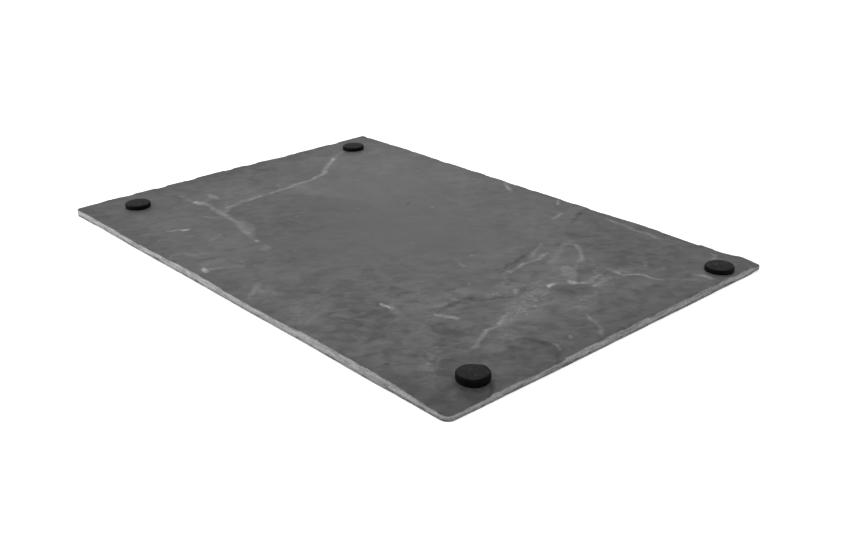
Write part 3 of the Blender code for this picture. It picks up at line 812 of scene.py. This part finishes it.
def tone_field(points, away):
    """How much paler or darker the face is at each point: the stone's own tone, with painted shade in some
    patches.
    """
    tone = patch_field(points, TONE_PATCHES) + EDGE_TONE * soft_step(1 - away / EDGE_TONE_REACH)
    for flake in UNDERSIDE_FLAKES:
        cover, faded = flake_cover(points, flake)
        tone += flake.tone * cover * soft_step(TONE_FADE - faded)
    return tone


def store(mesh, name, values):
    attribute = mesh.attributes.new(name, "FLOAT", "POINT")
    attribute.data.foreach_set("value", values.astype(np.float32))


def paint_features(slab, points, away):
    """Keeps at each point what the slate's material reads, from veins to the distance from the edge."""
    split_side = points[:, 2] > THICKNESS / 2
    places = points[split_side, :2]
    bent = bent_places(places)
    vein, vein_strength = strongest(bent, VEINS, VEIN_SOFTNESS)
    crease, crease_strength = strongest(bent, CREASES, CREASE_SOFTNESS)
    speck, speck_strength = strongest(bent, SPECK_BANDS, SPECK_SOFTNESS)
    features = {
        "vein_share": vein,
        "vein_strength": vein_strength,
        "crease_share": crease,
        "crease_strength": crease_strength,
        "speck_share": speck * speck_strength,
        "face_tone_and_shade": tone_field(bent, away[split_side]),
        "roughness": patch_field(places, ROUGH_PATCHES),
    }
    for name, values in features.items():
        everywhere = np.zeros(len(points))
        everywhere[split_side] = values
        store(slab.data, name, everywhere)
    store(slab.data, "edge_depth", away)


class NodeBench:
    """Adds nodes to a node tree and links them as they are made."""

    def __init__(self, tree):
        self.tree = tree
        self.column = 0

    def node(self, kind, **settings):
        made = self.tree.nodes.new(kind)
        row, place = divmod(self.column, NODE_COLUMNS)
        made.location = (place * NODE_WIDTH, -row * NODE_HEIGHT)
        self.column += 1
        for name, value in settings.items():
            setattr(made, name, value)
        return made

    def feed(self, socket, value):
        if isinstance(value, bpy.types.NodeSocket):
            self.tree.links.new(value, socket)
        elif value is not None:
            socket.default_value = value

    def math(self, operation, first, second=None, third=None, clamp=False):
        made = self.node("ShaderNodeMath", operation=operation, use_clamp=clamp)
        for socket, value in zip(made.inputs, (first, second, third)):
            self.feed(socket, value)
        return made.outputs[0]

    def add(self, *values):
        total = values[0]
        for value in values[1:]:
            total = self.math("ADD", total, value)
        return total

    def times(self, *values):
        total = values[0]
        for value in values[1:]:
            total = self.math("MULTIPLY", total, value)
        return total

    def ramp(self, value, low, high, to_low=0.0, to_high=1.0):
        made = self.node("ShaderNodeMapRange", interpolation_type="SMOOTHSTEP")
        for socket, number in zip(made.inputs, (value, low, high, to_low, to_high)):
            self.feed(socket, number)
        return made.outputs[0]

    def noise(self, vector, scale, detail=3.0, roughness=0.5, distortion=0.0):
        made = self.node("ShaderNodeTexNoise")
        self.feed(made.inputs["Vector"], vector)
        self.feed(made.inputs["Scale"], scale)
        self.feed(made.inputs["Detail"], detail)
        self.feed(made.inputs["Roughness"], roughness)
        self.feed(made.inputs["Distortion"], distortion)
        return made.outputs[0]

    def mapped(self, vector, scale):
        made = self.node("ShaderNodeMapping")
        self.feed(made.inputs["Vector"], vector)
        made.inputs["Scale"].default_value = scale
        return made.outputs[0]

    def drawn_out(self, vector, turn, stretch):
        """The same place, with what is drawn there stretched along a direction of the board."""
        made = self.node("ShaderNodeMapping", vector_type="TEXTURE")
        self.feed(made.inputs["Vector"], vector)
        made.inputs["Rotation"].default_value = (0, 0, turn)
        made.inputs["Scale"].default_value = (stretch, 1, 1)
        return made.outputs[0]

    def mix(self, factor, first, second):
        made = self.node("ShaderNodeMix", data_type="RGBA")
        self.feed(made.inputs[0], factor)
        self.feed(made.inputs[6], first)
        self.feed(made.inputs[7], second)
        return made.outputs[2]

    def attribute(self, name):
        return self.node("ShaderNodeAttribute", attribute_name=name).outputs["Fac"]

    def facing_up(self):
        """How far the surface faces up or down, from 0 on an upright wall to 1."""
        parts = self.node("ShaderNodeSeparateXYZ")
        self.feed(parts.inputs[0], self.node("ShaderNodeNewGeometry").outputs["Normal"])
        return self.math("ABSOLUTE", parts.outputs["Z"])

    def millimetres(self):
        """The place on the piece, in millimetres."""
        return self.mapped(self.node("ShaderNodeTexCoord").outputs["Object"], (1 / MM, 1 / MM, 1 / MM))

    def group(self, tree, **values):
        made = self.node("ShaderNodeGroup", node_tree=tree)
        for name, value in values.items():
            self.feed(made.inputs[name.replace("_", " ").capitalize()], value)
        return made


def new_group(name, inputs, outputs):
    """An empty node group: each input is (name, default), where a vector has no default."""
    tree = bpy.data.node_groups.new(name, "ShaderNodeTree")
    for label, default in inputs:
        kind = "NodeSocketVector" if default is None else "NodeSocketFloat"
        socket = tree.interface.new_socket(name=label, in_out="INPUT", socket_type=kind)
        if default is not None:
            socket.default_value = default
    for label in outputs:
        tree.interface.new_socket(name=label, in_out="OUTPUT", socket_type="NodeSocketFloat")
    bench = NodeBench(tree)
    return tree, bench, bench.node("NodeGroupInput").outputs, bench.node("NodeGroupOutput").inputs


def fine_grain_group():
    """Fine uneven grain: a mask from 0 to 1 about one half, and a height in millimetres."""
    tree, bench, given, out = new_group(
        "fine_grain", (("Place", None), ("Pitch", 1.0), ("Depth", 0.02)), ("Mask", "Height"))
    coarse = bench.noise(given["Place"], given["Pitch"], detail=4.0, roughness=0.65)
    pits = bench.noise(given["Place"], bench.math("MULTIPLY", given["Pitch"], 3.1), detail=2.0)
    both = bench.add(bench.times(coarse, 0.65), bench.times(pits, 0.35))
    bench.feed(out["Mask"], both)
    bench.feed(out["Height"], bench.times(both, given["Depth"]))
    return tree


def dust_group():
    """Scattered pale specks: each is a small ragged spot, and Cover says how many there are."""
    tree, bench, given, out = new_group(
        "dust_specks", (("Place", None), ("Pitch", 0.6), ("Cover", 0.1)), ("Mask",))
    bent = bench.node("ShaderNodeVectorMath", operation="ADD")
    waver = bench.node("ShaderNodeTexNoise")
    bench.feed(waver.inputs["Vector"], given["Place"])
    bench.feed(waver.inputs["Scale"], bench.times(given["Pitch"], 1.7))
    bench.feed(bent.inputs[0], given["Place"])
    bench.feed(bent.inputs[1], waver.outputs["Color"])
    cells = bench.node("ShaderNodeTexVoronoi", feature="F1")
    bench.feed(cells.inputs["Vector"], bent.outputs[0])
    bench.feed(cells.inputs["Scale"], given["Pitch"])
    tint = bench.node("ShaderNodeSeparateColor")
    bench.feed(tint.inputs[0], cells.outputs["Color"])
    chosen = bench.math("LESS_THAN", tint.outputs[0], given["Cover"])
    size = bench.ramp(tint.outputs[1], 0.0, 1.0, 0.10, 0.34)
    spot = bench.ramp(cells.outputs["Distance"], size, bench.times(size, 0.4))
    bench.feed(out["Mask"], bench.times(chosen, spot))
    return tree


def plain_material(name):
    material = bpy.data.materials.new(name)
    material.use_nodes = True
    return material, NodeBench(material.node_tree), material.node_tree.nodes["Principled BSDF"]


def edge_group():
    """The dressed edge: its tone from 0 to 1, with painted shade at its foot and towards the right, and its
    breaks.
    """
    tree, bench, given, out = new_group("dressed_edge", (("Place", None),), ("Tone", "Breaks"))
    parts = bench.node("ShaderNodeSeparateXYZ")
    bench.feed(parts.inputs[0], given["Place"])
    # Painted shade: the edge darkens towards its foot, towards the board's right end and most on the short
    # side, as if turned from the light
    foot = bench.ramp(parts.outputs["Z"], 2.0, 0.4)
    right_end_shade = bench.ramp(parts.outputs["X"], 60.0, 95.0)
    short_side = bench.ramp(bench.math("ABSOLUTE", parts.outputs["Y"]), 85.0, 55.0)
    courses = bench.noise(bench.mapped(given["Place"], (0.09, 0.09, 0.7)), 1.0, detail=4.0, roughness=0.6)
    breaks = bench.noise(bench.mapped(given["Place"], (1.0, 1.0, 1.4)), 1.0, detail=4.0, roughness=0.75)
    smudge = bench.noise(bench.mapped(given["Place"], (0.16, 0.16, 0.5)), 1.0, detail=4.0)
    smudge = bench.ramp(smudge, 0.55, 0.70)
    tone = bench.add(
        0.49,
        bench.times(bench.add(courses, -0.5), 1.20),
        bench.times(bench.add(breaks, -0.5), 1.10),
        bench.times(foot, -0.24),
        bench.times(right_end_shade, -0.09),
        bench.times(right_end_shade, short_side, -0.07),
        bench.times(smudge, bench.ramp(foot, 0.0, 1.0, 0.14, 0.40), -1.0))
    bench.feed(out["Tone"], bench.math("ADD", tone, 0.0, clamp=True))
    bench.feed(out["Breaks"], breaks)
    return tree


def slate_material(settings, grain, dust, edge):
    """Split slate: soft grey with cloudy layers, drawn-out grain, powdery veins and a pale broken edge."""
    material, bench, shader = plain_material("riven_slate")
    place = bench.millimetres()
    drawn = bench.drawn_out(place, GRAIN_TURN, 1.7)
    streaked = bench.drawn_out(place, STREAK_TURN, 1.25)
    rough = bench.math("ADD", 1.0, bench.attribute("roughness"))

    fine = bench.group(grain, place=place, pitch=1.1, depth=0.035)
    clouds = bench.noise(place, 0.028, detail=5.0, roughness=0.55, distortion=0.4)
    drift = bench.noise(drawn, 0.16, detail=3.0, roughness=0.5)
    blotches = bench.noise(streaked, 0.17, detail=2.0, roughness=0.50, distortion=0.5)
    scratches = bench.noise(drawn, 0.9, detail=3.0, roughness=0.6)
    mottle = bench.add(
        bench.times(bench.add(drift, -0.5), 0.14),
        bench.times(bench.add(blotches, -0.5), 0.80),
        bench.times(bench.add(scratches, -0.5), 0.05),
        bench.times(bench.add(fine.outputs["Mask"], -0.5), 0.24))
    level = bench.math("FRACT", bench.times(bench.noise(place, 0.010, detail=4.0, distortion=0.5), 10.0))
    layers = bench.times(level, bench.ramp(level, 1.0, 0.93))
    # The face's tone below includes painted shade from the darker patches along the near edge and at the
    # right end
    tone = bench.add(
        0.42,
        bench.times(bench.add(layers, -0.5), 0.07),
        bench.times(bench.add(clouds, -0.5), 0.34),
        bench.times(mottle, rough),
        bench.attribute("face_tone_and_shade"))
    face = bench.mix(tone, (*settings.dark_colour, 1), (*settings.pale_colour, 1))

    tatters = bench.noise(place, 0.42, detail=5.0, roughness=0.7)
    patchy = bench.ramp(bench.noise(place, 0.17, detail=3.0, roughness=0.6), 0.34, 0.66, 0.45, 1.10)
    vein = bench.add(bench.attribute("vein_share"), bench.times(bench.add(tatters, -0.5), 1.1))
    vein = bench.times(bench.ramp(vein, 0.14, 0.98), bench.attribute("vein_strength"), patchy)
    face = bench.mix(vein, face, (*settings.vein_colour, 1))

    speck = bench.attribute("speck_share")
    flecks = bench.noise(streaked, 0.50, detail=5.0, roughness=0.72, distortion=0.8)
    crumbs = bench.times(bench.ramp(flecks, 0.50, 0.70), speck)
    gloom = bench.times(bench.ramp(flecks, 0.46, 0.32), speck)
    haze = bench.times(bench.noise(place, 0.2, detail=4.0, roughness=0.6), speck, 0.10)
    stray = bench.group(dust, place=place, pitch=0.22, cover=0.05)
    pale = bench.math("MAXIMUM", bench.add(bench.times(crumbs, 0.28), haze),
                      bench.times(stray.outputs["Mask"], 0.10))
    face = bench.mix(pale, face, (*settings.vein_colour, 1))

    # Painted shade: cracks and creases are darkened towards a near-black, as if in shadow; the speck bands'
    # dark flecks share that colour
    crease = bench.add(bench.attribute("crease_share"), bench.times(bench.add(tatters, -0.5), 0.7))
    crease = bench.times(bench.ramp(crease, 0.28, 0.9), bench.ramp(patchy, 0.35, 1.0, 0.45, 1.0),
                         bench.attribute("crease_strength"))
    shade = bench.math("MAXIMUM", bench.times(crease, 0.80), bench.times(gloom, 0.46))
    face = bench.mix(shade, face, CREASE_SHADE)

    dressed = bench.group(edge, place=place)
    wall = bench.mix(dressed.outputs["Tone"], EDGE_SHADE, (*settings.edge_colour, 1))
    upright = bench.ramp(bench.facing_up(), 0.80, 0.50)
    outer = bench.ramp(bench.attribute("edge_depth"), 1.5, 0.5)
    upright = bench.times(upright, outer)
    # A pale fringe on the face along the arris: partly worn, paler stone, partly a painted highlight where
    # the arris catches the light
    rubbed_and_lit = bench.ramp(bench.attribute("edge_depth"), 0.8, 0.1, 0.0, 0.45)
    rubbed_and_lit = bench.times(rubbed_and_lit, bench.ramp(tatters, 0.40, 0.62))
    colour = bench.mix(bench.math("MAXIMUM", upright, rubbed_and_lit), face, wall)

    bench.feed(shader.inputs["Base Color"], colour)
    roughness = bench.add(
        0.50,
        bench.times(fine.outputs["Mask"], 0.10),
        bench.times(drift, 0.08),
        bench.times(vein, 0.30),
        bench.times(upright, 0.20))
    bench.feed(shader.inputs["Roughness"], roughness)
    shader.inputs["Specular IOR Level"].default_value = 0.35

    height = bench.add(
        bench.times(rough, bench.add(
            fine.outputs["Height"],
            bench.times(scratches, 0.02),
            bench.times(blotches, 0.16),
            bench.times(drift, 0.04))),
        bench.times(vein, 0.12),
        bench.times(crumbs, 0.05),
        bench.times(crease, -0.20),
        bench.times(upright, dressed.outputs["Breaks"], 0.30))
    bump = bench.node("ShaderNodeBump")
    bump.inputs["Strength"].default_value = 1.0
    bump.inputs["Distance"].default_value = MM
    bench.feed(bump.inputs["Height"], height)
    bench.feed(shader.inputs["Normal"], bump.outputs[0])
    return material


def rubber_material(settings, grain, dust):
    """Black die-cut rubber: a worn, dusty top made paler with painted light, and a side darkened with
    painted shade.
    """
    material, bench, shader = plain_material("black_rubber")
    place = bench.millimetres()
    fine = bench.group(grain, place=place, pitch=2.2, depth=0.03)
    # Painted light and shade: faces turned up take the paler top colour, upright faces the far darker side
    # colour; dust keeps to the top
    rubbed_and_lit = bench.ramp(bench.facing_up(), 0.80, 0.995)
    smears = bench.noise(place, 0.26, detail=4.0, roughness=0.6, distortion=1.0)
    patchy = bench.ramp(smears, 0.28, 0.62, 0.45, 1.0)
    colour = bench.mix(bench.times(rubbed_and_lit, patchy), (*settings.shaded_side_colour, 1), (*settings.lit_top_colour, 1))
    dusty = bench.times(bench.ramp(smears, 0.58, 0.74), rubbed_and_lit, 0.75)
    colour = bench.mix(dusty, colour, DUST_SMEAR)
    specks = bench.group(dust, place=place, pitch=0.9, cover=0.09)
    colour = bench.mix(bench.times(specks.outputs["Mask"], rubbed_and_lit, 0.30), colour, DUST_SPECK)
    bench.feed(shader.inputs["Base Color"], colour)
    bench.feed(shader.inputs["Roughness"], bench.add(0.62, bench.times(fine.outputs["Mask"], 0.25)))
    shader.inputs["Specular IOR Level"].default_value = 0.07
    bump = bench.node("ShaderNodeBump")
    bump.inputs["Strength"].default_value = 1.0
    bump.inputs["Distance"].default_value = MM
    bench.feed(bump.inputs["Height"], fine.outputs["Height"])
    bench.feed(shader.inputs["Normal"], bump.outputs[0])
    return material


def floor_material():
    material, _, shader = plain_material("studio_floor")
    shader.inputs["Base Color"].default_value = FLOOR_COLOUR
    shader.inputs["Roughness"].default_value = 0.95
    shader.inputs["Specular IOR Level"].default_value = 0.0
    shader.inputs["Emission Color"].default_value = WHITE
    shader.inputs["Emission Strength"].default_value = FLOOR_GLOW
    return material


def shared_groups():
    """The two node groups that both materials use, made once."""
    grain = bpy.data.node_groups.get("fine_grain") or fine_grain_group()
    dust = bpy.data.node_groups.get("dust_specks") or dust_group()
    return grain, dust


def soft_light(name, place, target, size, power):
    """A square soft light, turned towards a point."""
    place = Vector(place)
    turn = (Vector(target) - place).to_track_quat("-Z", "Y").to_euler()
    bpy.ops.object.light_add(type="AREA", location=place, rotation=turn)
    light = bpy.context.object
    light.name = name
    light.data.size = size
    light.data.energy = power


class SLATE_OT_stage(bpy.types.Operator):
    """Add the floor, the soft studio light and the camera"""
    bl_idname = "slate_board.stage"
    bl_label = "Stage, light and camera"

    def execute(self, context):
        settings = context.scene.slate_stage
        bpy.ops.object.select_all(action="DESELECT")
        bpy.ops.mesh.primitive_plane_add(size=settings.floor_size, location=(0, 0, FLOOR_HEIGHT))
        floor = bpy.context.object
        floor.name = "studio_floor"
        bpy.ops.object.transform_apply(location=True, rotation=True, scale=True)
        floor.data.materials.append(floor_material())
        soft_light("key_light", KEY_PLACE, KEY_TARGET, KEY_SIZE, settings.key_power)
        world = context.scene.world or bpy.data.worlds.new("studio")
        context.scene.world = world
        world.use_nodes = True
        background = world.node_tree.nodes["Background"]
        background.inputs["Color"].default_value = WHITE
        background.inputs["Strength"].default_value = settings.world_strength
        context.scene.view_settings.view_transform = "Standard"
        turn = (Matrix.Rotation(CAMERA_HEADING, 4, "Z") @ Matrix.Rotation(CAMERA_TILT, 4, "X")
                @ Matrix.Rotation(CAMERA_ROLL, 4, "Z"))
        bpy.ops.object.camera_add(location=CAMERA_PLACE, rotation=turn.to_euler())
        camera = bpy.context.object
        camera.name = "photo_camera"
        camera.data.sensor_width = SENSOR_WIDTH
        camera.data.lens = CAMERA_LENS
        camera.data.clip_start = 0.01
        context.scene.camera = camera
        return {"FINISHED"}


class SLATE_OT_slab(bpy.types.Operator):
    """Add the slab of split slate"""
    bl_idname = "slate_board.slab"
    bl_label = "Slate slab"

    def execute(self, context):
        settings = context.scene.slate_slab
        outline = board_outline()
        slab = plate("split_slate", outline, 0, THICKNESS)
        apply_modifier(slab, "BEVEL", width=ARRIS, segments=2, limit_method="ANGLE",
                       angle_limit=ARRIS_ANGLE)
        source = random.Random(CHIP_SEED)
        upper_chips = list(edge_chips(outline, UPPER_CHIP_SPACING, source))
        lower_chips = list(edge_chips(outline, LOWER_CHIP_SPACING, source))
        slice_wall(slab)
        slice_faces(slab, True, settings.fine_cell / MM)
        slice_faces(slab, False, PLAIN_CELL)
        points, away = relieve(slab, outline, settings.relief, upper_chips, lower_chips)
        paint_features(slab, points, away)
        apply_modifier(slab, "TRIANGULATE")
        slab.scale = (MM, MM, MM)
        bpy.ops.object.transform_apply(location=False, rotation=False, scale=True)
        bpy.ops.object.shade_smooth_by_angle(angle=SMOOTH_ANGLE)
        slab.data.materials.clear()
        slab.data.materials.append(slate_material(settings, *shared_groups(), edge_group()))
        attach(slab, "root")
        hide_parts("slate_slab")
        return {"FINISHED"}


class SLATE_OT_pads(bpy.types.Operator):
    """Add the four rubber pads"""
    bl_idname = "slate_board.pads"
    bl_label = "Rubber pads"

    def execute(self, context):
        settings = context.scene.slate_pads
        rubber = rubber_material(settings, *shared_groups())
        for node in PAD_NODES:
            pad = make_pad(node, settings.rim)
            pad.data.materials.append(rubber)
            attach(pad, "root")
            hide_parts(node)
        return {"FINISHED"}


def select_faces(thing, wanted):
    """Selects, in edit mode, the faces for which wanted(face) holds."""
    bpy.ops.mesh.select_mode(type="FACE")
    bpy.ops.mesh.select_all(action="DESELECT")
    work = bmesh.from_edit_mesh(thing.data)
    for face in work.faces:
        face.select_set(bool(wanted(face)))
    bmesh.update_edit_mesh(thing.data)


def make_pad(node, rim):
    """One stick-on pad: a die-cut disc with a softly rounded rim, on a slightly smaller adhesive layer."""
    low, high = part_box(node)
    middle = (low + high) / 2
    radius = (high.x - low.x) / 2
    top = high.z - PAD_CROWN * MM
    bpy.ops.object.select_all(action="DESELECT")
    bpy.ops.mesh.primitive_cylinder_add(
        vertices=PAD_SIDES, radius=radius, depth=top - low.z,
        location=(middle.x, middle.y, (low.z + top) / 2))
    pad = bpy.context.object
    pad.name = node.replace("pad", "rubber_pad")
    bpy.ops.object.transform_apply(location=True, rotation=True, scale=True)
    bpy.ops.object.mode_set(mode="EDIT")
    select_faces(pad, lambda face: face.normal.z < -0.5)
    bpy.ops.mesh.inset(thickness=ADHESIVE_STEP * MM)
    bpy.ops.mesh.extrude_region_move(TRANSFORM_OT_translate={"value": (0, 0, -ADHESIVE_HEIGHT * MM)})
    select_faces(pad, lambda face: face.normal.z > 0.5)
    bpy.ops.mesh.bevel(offset=rim, segments=PAD_RIM_STEPS, affect="EDGES")
    select_faces(pad, lambda face: len(face.verts) == PAD_SIDES and face.normal.z > 0.9)
    for ring in range(PAD_RINGS):
        bpy.ops.mesh.inset(thickness=(radius - rim) / (PAD_RINGS + 1))
    bpy.ops.mesh.poke()
    for course in range(1, PAD_COURSES):
        bpy.ops.mesh.select_all(action="SELECT")
        height = low.z + (top - rim - low.z) * course / PAD_COURSES
        bpy.ops.mesh.bisect(plane_co=(0, 0, height), plane_no=(0, 0, 1), threshold=WELD * MM)
    bpy.ops.object.mode_set(mode="OBJECT")
    shape_rubber(pad, middle, radius, rim, top, PAD_LEANS.get(node, (0.0, 0.0)),
                 PAD_WORST_WEAR.get(node, PAD_WEAR))
    bpy.ops.object.shade_smooth_by_angle(angle=SMOOTH_ANGLE)
    return pad


def shape_rubber(pad, middle, radius, rim, top, lean, wear):
    """Crowns, leans and wears the pad's top and gives its side the slight wobble of die-cut rubber."""
    fall = Vector(lean)
    for vertex in pad.data.vertices:
        outward = (vertex.co - middle).to_2d()
        share = outward.length / (radius - rim)
        if vertex.co.z > middle.z:
            if vertex.co.z > top - rim / 2:
                vertex.co.z += PAD_CROWN * MM * max(0.0, 1 - share * share)
                vertex.co.z += PAD_DIMPLE * MM * (noise.noise(vertex.co * PAD_DIMPLE_PITCH) - 0.5)
            vertex.co.z -= radius * fall.length - outward.dot(fall)
            rubbed_off = max(0.0, noise.noise(vertex.co * PAD_WEAR_PITCH) + PAD_WEAR_SHARE)
            vertex.co.z -= wear * MM * rubbed_off * min(share, 1.0) ** 2
        wobble = 0.5 + 0.5 * noise.noise(Vector((*outward.normalized(), middle.x / MM)) * PAD_WOBBLE_PITCH)
        vertex.co.xy -= outward.normalized() * min(share, 1.0) * PAD_WOBBLE * MM * wobble


class SLATE_PT_panel(bpy.types.Panel):
    """Lists the pieces of the slate board and what can be changed on each"""
    bl_idname = "SLATE_PT_panel"
    bl_label = "Slate Board"
    bl_space_type = "VIEW_3D"
    bl_region_type = "UI"
    bl_category = "Slate Board"

    def draw(self, context):
        scene = context.scene
        for operator, settings in ((SLATE_OT_stage, scene.slate_stage), (SLATE_OT_slab, scene.slate_slab),
                                   (SLATE_OT_pads, scene.slate_pads)):
            box = self.layout.box()
            for name in settings.__annotations__:
                box.prop(settings, name)
            box.operator(operator.bl_idname)


CLASSES = (
    SlabSettings, PadSettings, StageSettings, SLATE_OT_stage, SLATE_OT_slab, SLATE_OT_pads, SLATE_PT_panel,
)


def register():
    for each in CLASSES:
        bpy.utils.register_class(each)
    bpy.types.Scene.slate_slab = bpy.props.PointerProperty(type=SlabSettings)
    bpy.types.Scene.slate_pads = bpy.props.PointerProperty(type=PadSettings)
    bpy.types.Scene.slate_stage = bpy.props.PointerProperty(type=StageSettings)


def unregister():
    del bpy.types.Scene.slate_stage
    del bpy.types.Scene.slate_pads
    del bpy.types.Scene.slate_slab
    for each in reversed(CLASSES):
        bpy.utils.unregister_class(each)


def main():
    register()
    bpy.ops.slate_board.stage()
    bpy.ops.slate_board.slab()
    bpy.ops.slate_board.pads()


if __name__ == "__main__":
    main()
